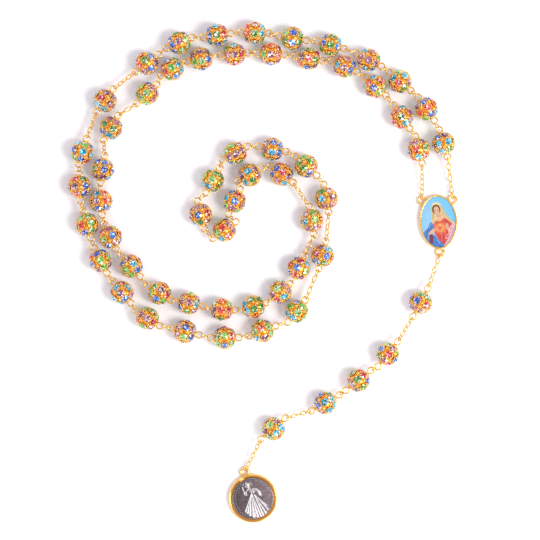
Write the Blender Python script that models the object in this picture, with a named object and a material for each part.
"""Five-decade rosary lying flat: paved beads on eye pins, cable chain, an oval centre medal and a round end medal.

Every moving piece has its origin on its hinge, with its own Y axis along that hinge.
Lengths in this file are millimetres; MM turns them into Blender's metres.
"""
import math

import bmesh
import bpy
from mathutils import Matrix, Vector

MM = 0.001
UP = Vector((0.0, 0.0, 1.0))

# Beads and their eye pins
BEAD_RADIUS = 4.0
BEAD_CAP = 3.7
BEAD_SHOULDER = 2.07
BEAD_SEGMENTS = 8
AXIS_HEIGHT = BEAD_RADIUS
EYE_OFFSET = 4.7
EYE_RADIUS = 1.12
EYE_WIRE = 0.28
LOOSE_EYE_OFFSET = 5.4
PIN_WIRE = 0.3
PIN_SIDES = 6
BEAD_BORE = 0.6
BORE_REACH = 5.0
BORE_SIDES = 8

# Cable chain: a run has one link up to SHORT_RUN, and two more for each PAIR_LENGTH past that.
# SLACK is the play at a hinge, OVERLAP how far fused rings share metal,
# and OPEN_GAP how far the closing run stops short of the eye that it would meet.
LINK_WIRE = 0.22
LINK_HALF_WIDTH = 0.86
LINK_SHORTEST = 0.75
SHORT_RUN = 3.0
PAIR_LENGTH = 3.6
DIRECT_GAP = 2.2
SLACK = 0.3
OVERLAP = 0.3
OPEN_GAP = 2.1
EYE_STEPS = 8
LINK_STEPS = 6
WIRE_SIDES = 3
RING_PHASE = 0.12
WIRE_ROLL = 0.25

# Medals
OVAL_CENTRE = Vector((58.2, 17.0, 0.0))
OVAL_TILT = math.radians(4.0)
OVAL_HALF_WIDTH = 6.35
OVAL_HALF_HEIGHT = 9.1
OVAL_HEIGHT = 2.0
OVAL_FLOOR = 1.2
RIM_WIDTH = 0.62
SEAT_GAP = 0.05
PICTURE_THICKNESS = 0.3
DOME_STEPS = ((0.5, 0.9), (0.8, 2.4), (0.9, 4.2))
ROUND_CENTRE = Vector((-3.9, -75.6, 0.0))
ROUND_RADIUS = 8.15
ROUND_HEIGHT = 1.9
ROUND_FLOOR = 0.6
BEZEL_WIDTH = 1.15
BEZEL_SLOPE = 0.5
MEDALLION_THICKNESS = 0.8
RELIEF = 0.3
ROBE = (
    (-0.8, 1.9), (-2.6, -4.3), (-1.1, -5.7), (0.4, -6.3), (3.1, -5.8),
    (5.1, -3.5), (4.2, -1.8), (0.5, 1.6),
)
CHEST = ((-2.2, 2.7), (-1.5, 3.5), (0.3, 3.5), (0.7, 2.5), (0.5, 1.5), (-0.9, 1.7))
RAISED_ARM = (
    (-1.7, 2.6), (-2.3, 0.8), (-3.1, 0.9), (-3.4, 2.2),
    (-3.8, 3.6), (-3.2, 3.6), (-2.7, 2.3), (-2.0, 3.0),
)
BENT_ARM = ((0.1, 3.5), (1.4, 3.4), (2.6, 2.2), (2.9, 1.1), (2.0, 0.9), (1.5, 2.2), (0.2, 2.5))
HEAD_CENTRE = (-1.8, 4.5)
HEAD_RADIUS = 0.95
HEAD_SIDES = 8
LOOP_STEPS = 10
LOOP_SIDES = 4
LOOP_RADIUS = 1.28
LOOP_WIRE = 0.35
LOOP_HEIGHT = 1.0
RIGHT_LOOP = Vector((63.1, 24.4, LOOP_HEIGHT))
LEFT_LOOP = Vector((52.75, 24.1, LOOP_HEIGHT))
BOTTOM_LOOP = Vector((58.95, 6.75, LOOP_HEIGHT))
ROUND_LOOP = Vector((-6.7, -66.7, LOOP_HEIGHT))

# Bead centres in plan, in stringing order
DECADE_1 = (
    (59.6, 43.1), (53.9, 54.6), (45.2, 63.8), (34.8, 71.0), (22.0, 76.0),
    (9.3, 78.2), (-3.3, 80.0), (-15.9, 79.2), (-28.4, 76.6), (-39.2, 69.9),
)
OUR_FATHER_1 = (-53.2, 57.4)
DECADE_2 = (
    (-60.7, 40.2), (-61.7, 28.7), (-59.2, 16.1), (-54.7, 4.0), (-47.5, -6.6),
    (-39.0, -15.2), (-26.5, -19.6), (-13.3, -21.7), (-0.7, -19.4), (10.7, -12.8),
)
OUR_FATHER_2 = (19.3, 5.8)
DECADE_3 = (
    (20.6, 24.8), (13.9, 35.6), (2.6, 41.2), (-9.8, 39.9), (-17.3, 30.8),
    (-21.3, 19.3), (-13.4, 14.2), (-10.0, 23.8), (-5.0, 32.6), (5.7, 32.8),
)
OUR_FATHER_3 = (15.7, 17.4)
DECADE_4 = (
    (-54.0, 34.3), (-54.6, 23.9), (-51.4, 11.9), (-44.5, 2.2), (-35.0, -6.8),
    (-25.2, -10.1), (-14.3, -12.2), (-3.7, -11.3), (5.2, -6.4), (11.4, 1.5),
)
OUR_FATHER_4 = (-51.2, 48.3)
DECADE_5 = (
    (51.4, 41.0), (45.7, 51.9), (36.9, 62.1), (26.6, 68.7), (14.7, 71.4),
    (2.1, 72.9), (-10.1, 72.8), (-21.2, 71.3), (-30.8, 67.9), (-39.1, 59.7),
)
FOLD_BEAD = 28
FOLD_TURN = math.radians(14.0)
TAIL = ((52.0, -9.9), (41.1, -27.1), (31.3, -35.9), (20.3, -43.4), (2.9, -52.0))


class Ring:
    """A closed wire loop: a round eye or an oval chain link."""

    def __init__(self, centre, along, half_length, half_width, wire, upright):
        self.centre = centre
        self.along = along.normalized()
        self.half_length = half_length
        self.half_width = half_width
        self.wire = wire
        self.upright = upright

    def side(self):
        """The unit vector across the ring, in its own plane."""
        across = UP.cross(self.along).normalized()
        return self.along.cross(across).normalized() if self.upright else across

    def tip(self, sign):
        return self.centre + self.along * (self.half_length * sign)


class Bead:
    """A bead's centre and the direction that its pin runs in."""

    def __init__(self, centre, before, after):
        self.centre = centre
        self.along = (after - before).normalized()


def raised(plan):
    return Vector((plan[0], plan[1], AXIS_HEIGHT))


def strung(start, plans, end):
    """Beads along a strand, each with its pin parallel to the line between its neighbours."""
    route = [start] + [raised(plan) for plan in plans] + [end]
    beads = []
    for before, centre, after in zip(route, route[1:], route[2:]):
        level = Vector((after.x - before.x, after.y - before.y, 0.0))
        beads.append(Bead(centre, Vector(), level))
    return beads


def eye(bead, sign, offset, upright=False):
    return Ring(
        bead.centre + bead.along * (offset * sign),
        bead.along * sign,
        EYE_RADIUS,
        EYE_RADIUS,
        EYE_WIRE,
        upright,
    )


def crossings(count, loose, first_wire, last_wire):
    """What the rings' wires and fits take from the length of a run of count links."""
    wires = first_wire + last_wire + (2 * LINK_WIRE) * count
    return wires + SLACK * loose - OVERLAP * (count + 1 - loose)


def links_between(first, last, loose):
    """An odd number of cable links that join two flat rings, alternately on edge and flat."""
    gap = (last.centre - first.centre).length
    count = 1 + 2 * max(0, round((gap - SHORT_RUN) / PAIR_LENGTH))
    taken = crossings(count, loose, first.wire, last.wire)
    half = (gap - first.half_length - last.half_length + taken) / (2 * count)
    along = (last.centre - first.centre).normalized()
    first_is_loose = loose == 2
    place = first.half_length + half - first.wire - LINK_WIRE
    place += -SLACK if first_is_loose else OVERLAP
    links = []
    for number in range(count):
        centre = first.centre + along * place
        links.append(Ring(centre, along, half, LINK_HALF_WIDTH, LINK_WIRE, number % 2 == 0))
        place += 2 * half - 2 * LINK_WIRE + OVERLAP
    return links


def settle(one, other, target):
    """The eye offset that leaves target between the eyes of two neighbouring beads."""
    offset = EYE_OFFSET
    for _ in range(8):
        here = one.centre + one.along * offset
        there = other.centre - other.along * offset
        offset += ((there - here).length - target) / 2
    return offset


def gap_between(one, other, loose):
    """The outgoing eye, the links and the incoming eye between two neighbouring beads."""
    offset = EYE_OFFSET
    span = (other.centre - other.along * offset - one.centre - one.along * offset).length
    if span < DIRECT_GAP:
        direct = 2 * EYE_RADIUS - crossings(0, loose, EYE_WIRE, EYE_WIRE)
        offset = settle(one, other, direct)
        return eye(one, 1, offset), [], eye(other, -1, offset, upright=True)
    shortest = 2 * (EYE_RADIUS + LINK_SHORTEST) - crossings(1, loose, EYE_WIRE, EYE_WIRE)
    if span < shortest:
        offset = settle(one, other, shortest)
    leaving = eye(one, 1, offset)
    arriving = eye(other, -1, offset)
    return leaving, links_between(leaving, arriving, loose), arriving


def ring_mesh(ring, steps=None, sides=WIRE_SIDES):
    """A closed tube around the ring's path, as a mesh in millimetres."""
    steps = steps or (EYE_STEPS if ring.wire == EYE_WIRE else LINK_STEPS)
    across = ring.side()
    normal = ring.along.cross(across).normalized()
    mesh = bmesh.new()
    loops = []
    for step in range(steps):
        turn = 2 * math.pi * step / steps + RING_PHASE
        out = (ring.along * math.cos(turn) + across * math.sin(turn)).normalized()
        point = ring.centre + ring.along * (ring.half_length * math.cos(turn))
        point += across * (ring.half_width * math.sin(turn))
        loop = []
        for side in range(sides):
            roll = math.pi + WIRE_ROLL + 2 * math.pi * side / sides
            offset = out * math.cos(roll) + normal * math.sin(roll)
            loop.append(mesh.verts.new(point + offset * ring.wire))
        loops.append(loop)
    bridge_around(mesh, loops, closed=True)
    return mesh


def bridge_around(mesh, loops, closed):
    """Faces between neighbouring loops of vertices."""
    pairs = list(zip(loops, loops[1:]))
    if closed:
        pairs.append((loops[-1], loops[0]))
    for one, other in pairs:
        count = len(one)
        for here in range(count):
            after = (here + 1) % count
            mesh.faces.new((one[here], one[after], other[after], other[here]))
    bmesh.ops.recalc_face_normals(mesh, faces=mesh.faces[:])


def ball_mesh(bead):
    """A faceted ball with flat ends where the pin leaves it."""
    across = UP.cross(bead.along).normalized()
    heights = (-BEAD_CAP, -BEAD_SHOULDER, 0.0, BEAD_SHOULDER, BEAD_CAP)
    mesh = bmesh.new()
    loops = []
    for height in heights:
        radius = math.sqrt(BEAD_RADIUS ** 2 - height ** 2)
        loop = []
        for segment in range(BEAD_SEGMENTS):
            turn = 2 * math.pi * segment / BEAD_SEGMENTS
            out = UP * -math.cos(turn) + across * math.sin(turn)
            loop.append(mesh.verts.new(bead.centre + bead.along * height + out * radius))
        loops.append(loop)
    bridge_around(mesh, loops, closed=False)
    mesh.faces.new(loops[0])
    mesh.faces.new(loops[-1])
    bmesh.ops.recalc_face_normals(mesh, faces=mesh.faces[:])
    return mesh


def rod_mesh(start, end, radius, sides):
    """A straight closed prism between two points."""
    along = (end - start).normalized()
    across = UP.cross(along).normalized()
    normal = along.cross(across)
    mesh = bmesh.new()
    loops = []
    for point in (start, end):
        turns = [2 * math.pi * side / sides for side in range(sides)]
        outs = [across * math.cos(turn) + normal * math.sin(turn) for turn in turns]
        loops.append([mesh.verts.new(point + out * radius) for out in outs])
    bridge_around(mesh, loops, closed=False)
    mesh.faces.new(loops[0])
    mesh.faces.new(loops[1])
    bmesh.ops.recalc_face_normals(mesh, faces=mesh.faces[:])
    return mesh


def oval_mesh(centre, half_width, half_height, tilt, levels, segments=24):
    """A closed oval solid through (height, inset) levels, lowest first."""
    mesh = bmesh.new()
    turned = Matrix.Rotation(tilt, 3, "Z")
    loops = []
    for height, inset in levels:
        loop = []
        for segment in range(segments):
            turn = 2 * math.pi * segment / segments
            x = (half_width - inset) * math.cos(turn)
            y = (half_height - inset) * math.sin(turn)
            point = turned @ Vector((x, y, 0.0)) + centre
            loop.append(mesh.verts.new((point.x, point.y, height)))
        loops.append(loop)
    bridge_around(mesh, loops, closed=False)
    mesh.faces.new(loops[0])
    mesh.faces.new(loops[-1])
    bmesh.ops.recalc_face_normals(mesh, faces=mesh.faces[:])
    return mesh


def outline_mesh(centre, outline, low, high):
    """A closed upright solid over an outline given about a centre."""
    mesh = bmesh.new()
    loops = []
    for height in (low, high):
        loops.append([mesh.verts.new((centre.x + x, centre.y + y, height)) for x, y in outline])
    bridge_around(mesh, loops, closed=False)
    mesh.faces.new(loops[0])
    mesh.faces.new(loops[1])
    bmesh.ops.recalc_face_normals(mesh, faces=mesh.faces[:])
    return mesh


def scratch_object(mesh):
    """A temporary object from a bmesh in millimetres."""
    data = bpy.data.meshes.new("scratch")
    bmesh.ops.scale(mesh, vec=(MM, MM, MM), verts=mesh.verts[:])
    mesh.to_mesh(data)
    mesh.free()
    thing = bpy.data.objects.new("scratch", data)
    bpy.context.scene.collection.objects.link(thing)
    return thing


def combined(base, others, operation):
    """A new mesh: the base with each of the others added to it or cut from it."""
    body = scratch_object(base)
    tools = [scratch_object(other) for other in others]
    for tool in tools:
        modifier = body.modifiers.new("combine", "BOOLEAN")
        modifier.operation = operation
        modifier.solver = "EXACT"
        modifier.object = tool
    graph = bpy.context.evaluated_depsgraph_get()
    data = bpy.data.meshes.new_from_object(body.evaluated_get(graph))
    result = bmesh.new()
    result.from_mesh(data)
    bmesh.ops.scale(result, vec=(1 / MM, 1 / MM, 1 / MM), verts=result.verts[:])
    bmesh.ops.remove_doubles(result, verts=result.verts[:], dist=1e-4)
    for thing in tools + [body]:
        scratch = thing.data
        bpy.data.objects.remove(thing)
        bpy.data.meshes.remove(scratch)
    bpy.data.meshes.remove(data)
    return result


def material(name, color, metallic, roughness, transmission=0.0):
    made = bpy.data.materials.new(name)
    made.use_nodes = True
    shader = made.node_tree.nodes["Principled BSDF"]
    shader.inputs["Base Color"].default_value = (*color, 1.0)
    shader.inputs["Metallic"].default_value = metallic
    shader.inputs["Roughness"].default_value = roughness
    shader.inputs["Transmission Weight"].default_value = transmission
    made.diffuse_color = (*color, 1.0)
    return made


GOLD = (0.93, 0.66, 0.26)
PAVE = (0.80, 0.45, 0.30)
SILVER = (0.55, 0.53, 0.54)
ENAMEL = (0.45, 0.70, 0.92)
CLEAR = (0.95, 0.97, 1.0)
FINISHES = {
    "gold": (GOLD, 1.0, 0.25),
    "pave": (PAVE, 0.8, 0.25),
    "silver": (SILVER, 1.0, 0.35),
    "enamel": (ENAMEL, 0.0, 0.3),
    "clear": (CLEAR, 0.0, 0.05, 0.9),
}


def placed(name, mesh, finish, pivot, axis):
    """An object whose origin is the pivot and whose Y axis is the hinge axis."""
    y = axis.normalized()
    x = Vector((0.0, 0.0, 1.0)) if abs(y.z) < 0.9 else Vector((1.0, 0.0, 0.0))
    x = (x - y * x.dot(y)).normalized()
    z = x.cross(y)
    turn = Matrix((x, y, z)).transposed().to_4x4()
    frame = Matrix.Translation(pivot * MM) @ turn
    bmesh.ops.scale(mesh, vec=(MM, MM, MM), verts=mesh.verts[:])
    bmesh.ops.transform(mesh, matrix=frame.inverted(), verts=mesh.verts[:])
    data = bpy.data.meshes.new(name)
    mesh.to_mesh(data)
    mesh.free()
    thing = bpy.data.objects.new(name, data)
    bpy.context.scene.collection.objects.link(thing)
    thing.matrix_world = frame
    data.materials.append(material(name + "_finish", *FINISHES[finish]))
    return thing


def pivot_between(one, other, upright_hinge=False):
    """The middle of the wire that the hinge turns on, where two rings cross.

    A lifting hinge turns on the flat ring's wire and a sideways one on the upright ring's wire.
    """
    along = (other.centre - one.centre).normalized()
    if one.upright == upright_hinge:
        return one.centre + along * one.half_length
    return other.centre - along * other.half_length


def lift_axis(one, other):
    """The level axis about which a positive turn lifts the piece that comes after."""
    return (other.centre - one.centre).cross(UP)


def medal_loop(centre, towards):
    level = Vector((towards.x - centre.x, towards.y - centre.y, 0.0))
    return Ring(centre, level, LOOP_RADIUS, LOOP_RADIUS, LOOP_WIRE, False)


def rings_united(rings, solids):
    """One closed body from solids and the rings that cross them or each other."""
    meshes = solids + [ring_mesh(ring) for ring in rings]
    return combined(meshes[0], meshes[1:], "UNION")


def add_run(name, leaving, links, arriving):
    """A free run of chain, hinged on the ring that it leaves."""
    pivot = pivot_between(leaving, links[0])
    placed(name, rings_united(links, []), "gold", pivot, lift_axis(leaving, arriving))


def decade_units(name, first):
    """A decade as five units of two beads."""
    return [
        (f"{name}_beads_{2 * pair + 1}_{2 * pair + 2}", name, (first + 2 * pair, first + 2 * pair + 1))
        for pair in range(5)
    ]


def add_strand(loop, loop_name, beads, units, closing):
    """The chain runs and bead units from a medal loop to the strand's last bead.

    closing is the eye that the last bead turns towards the other strand.
    """
    arriving = eye(beads[0], -1, EYE_OFFSET)
    links = links_between(loop, arriving, 2)
    add_run(f"chain_{loop_name}_to_{units[0][1]}", loop, links, arriving)
    before = links[-1]
    for (name, group, members), following in zip(units, units[1:] + [None]):
        pivot = pivot_between(before, arriving)
        axis = lift_axis(before, arriving)
        rings = [arriving]
        for one, other in zip(members, members[1:]):
            leaving, links, arriving = gap_between(beads[one], beads[other], 0)
            rings += [leaving, *links, arriving]
        solids = [ball_mesh(beads[member]) for member in members]
        if following is None:
            rings.append(closing)
        elif following[1] == group:
            leaving, links, arriving = gap_between(beads[members[-1]], beads[following[2][0]], 1)
            rings += [leaving, *links]
            before = rings[-1]
        else:
            leaving, links, arriving = gap_between(beads[members[-1]], beads[following[2][0]], 2)
            rings.append(leaving)
            add_run(f"chain_{group}_to_{following[1]}", leaving, links, arriving)
            before = links[-1]
        placed(name, rings_united(rings, solids), "pave", pivot, axis)


def add_loop(right, left):
    """Both strands of the fifty-four bead loop and the run that closes it."""
    outer_plans = DECADE_1 + (OUR_FATHER_1,) + DECADE_2 + (OUR_FATHER_2,) + DECADE_3
    inner_plans = DECADE_5 + (OUR_FATHER_4,) + DECADE_4 + (OUR_FATHER_3,)
    outer = strung(right.centre, outer_plans, raised(OUR_FATHER_3))
    fold = outer[FOLD_BEAD]
    fold.along.rotate(Matrix.Rotation(FOLD_TURN, 3, "Z"))
    inner = strung(left.centre, inner_plans, raised(DECADE_3[-1]))
    last = outer[-1]
    turned_back = Bead(last.centre, last.along, Vector())
    leaving, _, arriving = gap_between(inner[-1], turned_back, 2)
    back = (leaving.centre - arriving.centre).normalized() * OPEN_GAP
    short_of_it = Ring(arriving.centre + back, arriving.along, EYE_RADIUS, EYE_RADIUS, EYE_WIRE, False)
    links = links_between(leaving, short_of_it, 2)
    outer_units = decade_units("decade_1", 0)
    outer_units.append(("our_father_bead_1", "our_father_1", (10,)))
    outer_units += decade_units("decade_2", 11)
    outer_units.append(("our_father_bead_2", "our_father_2", (21,)))
    outer_units += decade_units("decade_3", 22)
    inner_units = decade_units("decade_5", 0)
    inner_units.append(("our_father_bead_4", "our_father_4", (10,)))
    inner_units += decade_units("decade_4", 11)
    inner_units.append(("our_father_bead_3", "our_father_3", (21,)))
    add_strand(right, "centre_medal_right", outer, outer_units, arriving)
    add_strand(left, "centre_medal_left", inner, inner_units, leaving)
    add_run("chain_our_father_3_to_decade_3", leaving, links, arriving)


def add_tail(bottom, end_loop):
    """The five pendant beads, loose on their pins, and their chain."""
    beads = strung(bottom.centre, TAIL, end_loop.centre)
    eyes_in = [eye(bead, -1, LOOSE_EYE_OFFSET) for bead in beads]
    eyes_out = [eye(bead, 1, LOOSE_EYE_OFFSET) for bead in beads]
    starts = [bottom] + eyes_out
    ends = eyes_in + [end_loop]
    names = ["centre_medal"] + [f"tail_bead_{number}" for number in range(1, 6)] + ["round_medal"]
    carried = [[] for _ in beads]
    hinges = []
    for number, (start, end) in enumerate(zip(starts, ends)):
        is_run = (end.centre - start.centre).length > PAIR_LENGTH
        links = links_between(start, end, 2 if is_run else 1)
        if is_run:
            add_run(f"chain_{names[number]}_to_{names[number + 1]}", start, links, end)
        else:
            carried[number - 1] = links
        hinges.append(pivot_between(links[-1], end, upright_hinge=True))
    for number, bead in enumerate(beads):
        name = names[number + 1]
        reach = bead.along * (LOOSE_EYE_OFFSET - EYE_RADIUS)
        rod = rod_mesh(bead.centre - reach, bead.centre + reach, PIN_WIRE, PIN_SIDES)
        rings = [eyes_in[number], eyes_out[number]] + carried[number]
        placed(f"{name}_pin", rings_united(rings, [rod]), "gold", hinges[number], UP)
        through = bead.along * BORE_REACH
        bore = rod_mesh(bead.centre - through, bead.centre + through, BEAD_BORE, BORE_SIDES)
        ball = combined(ball_mesh(bead), [bore], "DIFFERENCE")
        placed(name, ball, "pave", bead.centre, bead.along)
    return hinges[-1]


def add_centre_medal(loops):
    """The oval medal: a gold tray with three loops, the enamel picture and its clear dome."""
    def oval(levels):
        return oval_mesh(OVAL_CENTRE, OVAL_HALF_WIDTH, OVAL_HALF_HEIGHT, OVAL_TILT, levels)

    top = OVAL_HEIGHT
    outer = oval(((0.0, 0.2), (0.2, 0.0), (top - 0.2, 0.0), (top, 0.15)))
    hollow = oval(((OVAL_FLOOR, RIM_WIDTH), (top + 1, RIM_WIDTH)))
    rings = [ring_mesh(loop, LOOP_STEPS, LOOP_SIDES) for loop in loops]
    tray = combined(combined(outer, rings, "UNION"), [hollow], "DIFFERENCE")
    placed("centre_medal_frame", tray, "gold", OVAL_CENTRE, UP)
    edge = RIM_WIDTH + SEAT_GAP
    low = OVAL_FLOOR + SEAT_GAP
    high = low + PICTURE_THICKNESS
    placed("centre_medal_picture", oval(((low, edge), (high, edge))), "enamel", OVAL_CENTRE, UP)
    brim = top - SEAT_GAP
    levels = [(high + SEAT_GAP, edge), (brim, edge)]
    levels += [(brim + rise, edge + inset) for rise, inset in DOME_STEPS]
    placed("centre_medal_dome", oval(levels), "clear", OVAL_CENTRE, UP)


def circle_points(centre, radius, sides):
    turns = [2 * math.pi * side / sides for side in range(sides)]
    return [(centre[0] + radius * math.cos(turn), centre[1] + radius * math.sin(turn)) for turn in turns]


def add_round_medal(loop, hinge):
    """The end medal: a gold bezel on its loop, with a relief medallion set in it."""
    def disc(levels):
        return oval_mesh(ROUND_CENTRE, ROUND_RADIUS, ROUND_RADIUS, 0.0, levels)

    top = ROUND_HEIGHT
    well = ((ROUND_FLOOR, BEZEL_WIDTH), (top - 0.4, BEZEL_WIDTH), (top + 0.1, BEZEL_WIDTH - BEZEL_SLOPE))
    outer = disc(((0.0, 0.25), (0.25, 0.0), (top - 0.3, 0.0), (top, 0.3)))
    hollow = disc(well)
    bezel = combined(outer, [ring_mesh(loop, LOOP_STEPS, LOOP_SIDES)], "UNION")
    placed("round_medal_bezel", combined(bezel, [hollow], "DIFFERENCE"), "gold", hinge, UP)
    edge = BEZEL_WIDTH + SEAT_GAP
    low = ROUND_FLOOR + SEAT_GAP
    high = low + MEDALLION_THICKNESS
    plate = disc(((low, edge), (high, edge)))
    head = circle_points(HEAD_CENTRE, HEAD_RADIUS, HEAD_SIDES)
    outlines = (ROBE, CHEST, RAISED_ARM, BENT_ARM, head)
    figures = [outline_mesh(ROUND_CENTRE, shape, high - RELIEF, high + RELIEF) for shape in outlines]
    placed("round_medal_relief", combined(plate, figures, "UNION"), "silver", ROUND_CENTRE, UP)


def main():
    for thing in list(bpy.data.objects):
        bpy.data.objects.remove(thing)
    right = medal_loop(RIGHT_LOOP, raised(DECADE_1[0]))
    left = medal_loop(LEFT_LOOP, raised(DECADE_5[0]))
    bottom = medal_loop(BOTTOM_LOOP, raised(TAIL[0]))
    round_loop = medal_loop(ROUND_LOOP, raised(TAIL[-1]))
    add_centre_medal((right, left, bottom))
    add_loop(right, left)
    hinge = add_tail(bottom, round_loop)
    add_round_medal(round_loop, hinge)


main()
